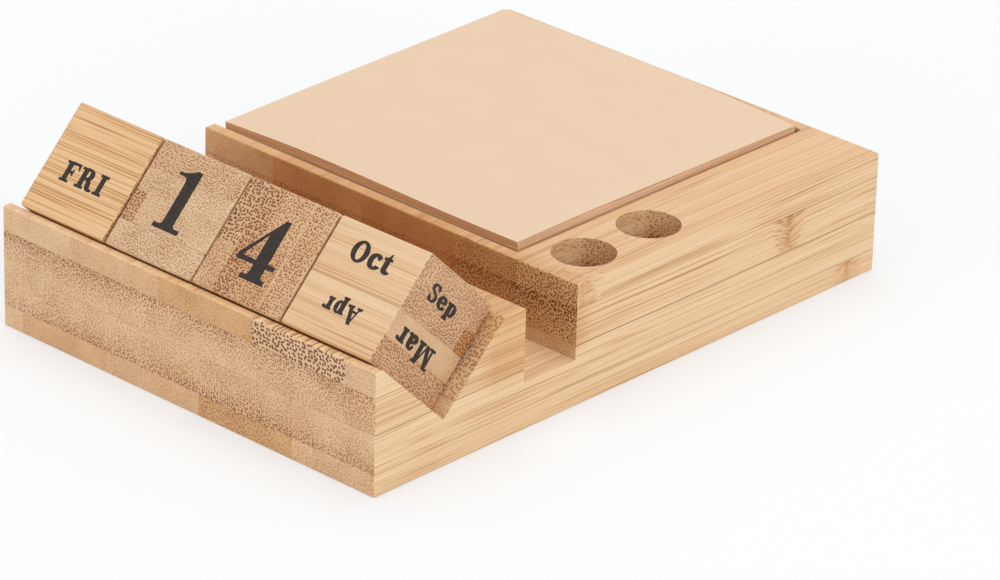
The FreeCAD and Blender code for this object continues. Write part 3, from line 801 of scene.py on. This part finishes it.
bpy.ops.object.select_all(action="DESELECT")
place_camera()

board = board_bamboo()
for node in ("lower_board", "front_lip", "divider_ridge", "recess_strip", "side_wall", "rear_wall"):
    dress(node, board)

dress("weekday_cube", laminated_bamboo(
    "bamboo weekday cube", FACE_NORMAL, X, FACE_UP, cube_origin("weekday_cube"), CUBE, CUBE,
    [(0.0, [(0.0, 0.50, 0.0, 1.0, 0.0)])], [(0.0, 0.3, 0.0), (CUBE, 0.3, 0.0)], tint="#F3E8DA"))
dress("month_cube", laminated_bamboo(
    "bamboo month cube", FACE_NORMAL, X, FACE_UP, cube_origin("month_cube"), CUBE, CUBE,
    [(0.0, [(0.0, 0.43, 0.4, 0.8, 0.0)]), (5.7, [(0.0, 0.54, 0.1, 0.4, 0.0)]),
     (11.4, [(0.0, 0.26, 0.3, 1.2, 0.0), (3.5, 0.46, 0.1, 0.8, 0.0)]), (16.3, [(0.0, 0.46, 0.1, 0.8, 0.0)])],
    [(0.0, 0.3, 0.0), (5.5, 0.5, 0.0), (5.7, 0.3, 0.4), (5.9, 0.0, 0.0), (11.2, 0.0, 0.0), (11.4, 0.5, 0.5),
     (11.6, 0.4, 0.0), (CUBE, 0.3, 0.0)], tint="#F3EFEE"))
dress("tens_cube", laminated_bamboo(
    "bamboo tens cube", X, FACE_NORMAL, FACE_UP, cube_origin("tens_cube"), CUBE, CUBE,
    [(0.0, [(0.0, 0.49, 0.1, 0.6, 0.0)]), (5.6, [(0.0, 0.36, 0.5, 1.3, 0.0), (3.3, 0.52, 0.1, 0.5, 0.0)]),
     (11.9, [(0.0, 0.51, 0.2, 0.6, 0.0), (10.5, 0.50, 0.1, 0.6, 0.0)]), (16.9, [(0.0, 0.46, 0.0, 0.6, 0.0)])],
    [(0.0, 0.3, 0.0), (5.45, 0.4, 0.0), (5.6, 0.4, 2.2), (5.75, 0.4, 0.0), (11.9, 0.3, 0.0), (16.8, 0.3, 0.0),
     (17.0, 0.7, 0.0), (CUBE, 0.5, 0.0)], tint="#F5F8FF"))
dress("units_cube", laminated_bamboo(
    "bamboo units cube", FACE_UP, FACE_NORMAL, X, cube_origin("units_cube"), CUBE, CUBE,
    [(0.0, [(0.0, 0.50, 0.1, 0.5, 0.0), (9.5, 0.50, 0.6, 1.1, 0.0)]),
     (5.3, [(0.0, 0.40, 0.3, 0.9, 0.0), (12.0, 0.46, 0.5, 0.8, 0.0)]), (17.0, [(0.0, 0.56, 0.3, 0.8, 0.0)])],
    [(0.0, 0.7, 0.0), (5.2, 0.6, 0.0), (5.4, 1.0, 0.0), (8.5, 0.8, 0.0), (11.0, 0.3, 0.0), (16.7, 0.3, 0.0),
     (16.9, 0.0, 0.0), (17.5, 0.0, 0.0), (17.9, 0.6, 0.0), (CUBE, 0.3, 0.0)], tint="#F1EEEC"))

memo_pad()

BLACK = printing_ink()
PLATES = {sign: glyph(sign) for sign in GLYPHS}
DAY_LINE = (11.3, 4.3, False)  # top, cap height, upside down
DIGIT_BOX = (6.6, 15.8, 4.8, 13.0, False)  # left, right, top, height, upside down
days = (("FRI", 5.3, 16.75), ("MON", 4.2, 17.8), ("WED", 4.2, 17.8), ("THU", 4.4, 17.4), ("TUE", 4.8, 17.2))
print_cube("weekday_cube", [[day + DAY_LINE] for day in days] + [
    [("SAT", 5.3, 16.6, 3.2, 4.3, False), ("SUN", 5.2, 17.0, 14.9, 4.3, True)]])
print_cube("tens_cube", [[("1", 7.6, 14.9, 3.5, 12.9, False)]] + [[(sign, *DIGIT_BOX)] for sign in "02678"])
print_cube("units_cube", [[("4", 6.6, 16.25, 5.4, 13.2, False)], [("1", 7.8, 15.0, 4.8, 12.9, False)]] + [
    [(sign, *DIGIT_BOX)] for sign in "0235"])
print_cube("month_cube", [
    [("Oct", 6.2, 16.75, 2.9, 4.4, False), ("Apr", 6.7, 15.8, 14.8, 3.7, True)],
    [("Sep", 5.0, 14.6, 3.7, 3.6, False), ("Mar", 2.9, 15.5, 13.7, 4.3, True)]] + [
    [(first, 6.2, 16.6, 3.2, 4.2, False), (second, 6.2, 16.6, 14.6, 4.0, True)]
    for first, second in (("Jul", "Jan"), ("Aug", "Feb"), ("Nov", "May"), ("Dec", "Jun"))])
for spare in PLATES.values():
    bpy.data.objects.remove(spare)


# ---------------------------------------------------------------- studio

def seen_directly(tree):
    """1 for what the lens sees itself or through a gloss or glass, 0 for light on its way."""
    seen = put(tree, "LightPath").node.outputs
    direct = put(tree, "Math", {0: seen["Is Camera Ray"], 1: seen["Is Glossy Ray"]}, operation="MAXIMUM")
    return put(tree, "Math", {0: direct, 1: seen["Is Transmission Ray"]}, operation="MAXIMUM")


def studio():
    """White sweep, an overcast sky of a light tent, and three large soft lamps."""
    made, tree = new_material("white sweep")
    paper = put(tree, "BsdfPrincipled", {"Base Color": tone("#ECECEC"), "Roughness": 0.9})
    shade = put(tree, "BsdfPrincipled", {"Base Color": tone("#BCBCBC"), "Roughness": 0.9})
    glow = put(tree, "Emission", {"Color": (0.955, 0.985, 1.0, 1.0), "Strength": 0.455})
    both = put(tree, "AddShader", {0: shade, 1: glow})
    both = put(tree, "MixShader", {0: seen_directly(tree), 1: paper, 2: both})
    put(tree, "OutputMaterial", {"Surface": both})
    bpy.ops.mesh.primitive_plane_add(size=8.0)
    floor = bpy.context.object
    floor.name = "floor"
    floor.data.materials.append(made)

    world = bpy.data.worlds.new("World")
    world.use_nodes = True
    bpy.context.scene.world = world
    tree = world.node_tree
    tree.nodes.clear()
    tent = put(tree, "Background", {"Color": (1.0, 1.0, 1.0, 1.0), "Strength": 0.62})
    white = put(tree, "Background", {"Color": (1.0, 1.0, 1.0, 1.0), "Strength": 1.0})
    sky = put(tree, "MixShader", {0: seen_directly(tree), 1: tent, 2: white})
    put(tree, "OutputWorld", {"Surface": sky})

    for name, spot, size, power in (
            ("overhead softbox", Vector((-0.3, 0.2, 1.6)), 1.2, 8.0),
            ("side softbox", Vector((1.5, -0.3, 0.9)), 1.0, 9.0),
            ("front fill", Vector((-0.3, -1.8, 0.5)), 1.2, 6.0)):
        data = bpy.data.lights.new(name, "AREA")
        data.shape, data.size, data.energy = "SQUARE", size, power
        lamp = bpy.data.objects.new(name, data)
        bpy.context.collection.objects.link(lamp)
        lamp.matrix_world = Matrix.Translation(spot) @ spot.to_track_quat("Z", "Y").to_matrix().to_4x4()


studio()
bpy.context.scene.view_settings.view_transform = "Standard"
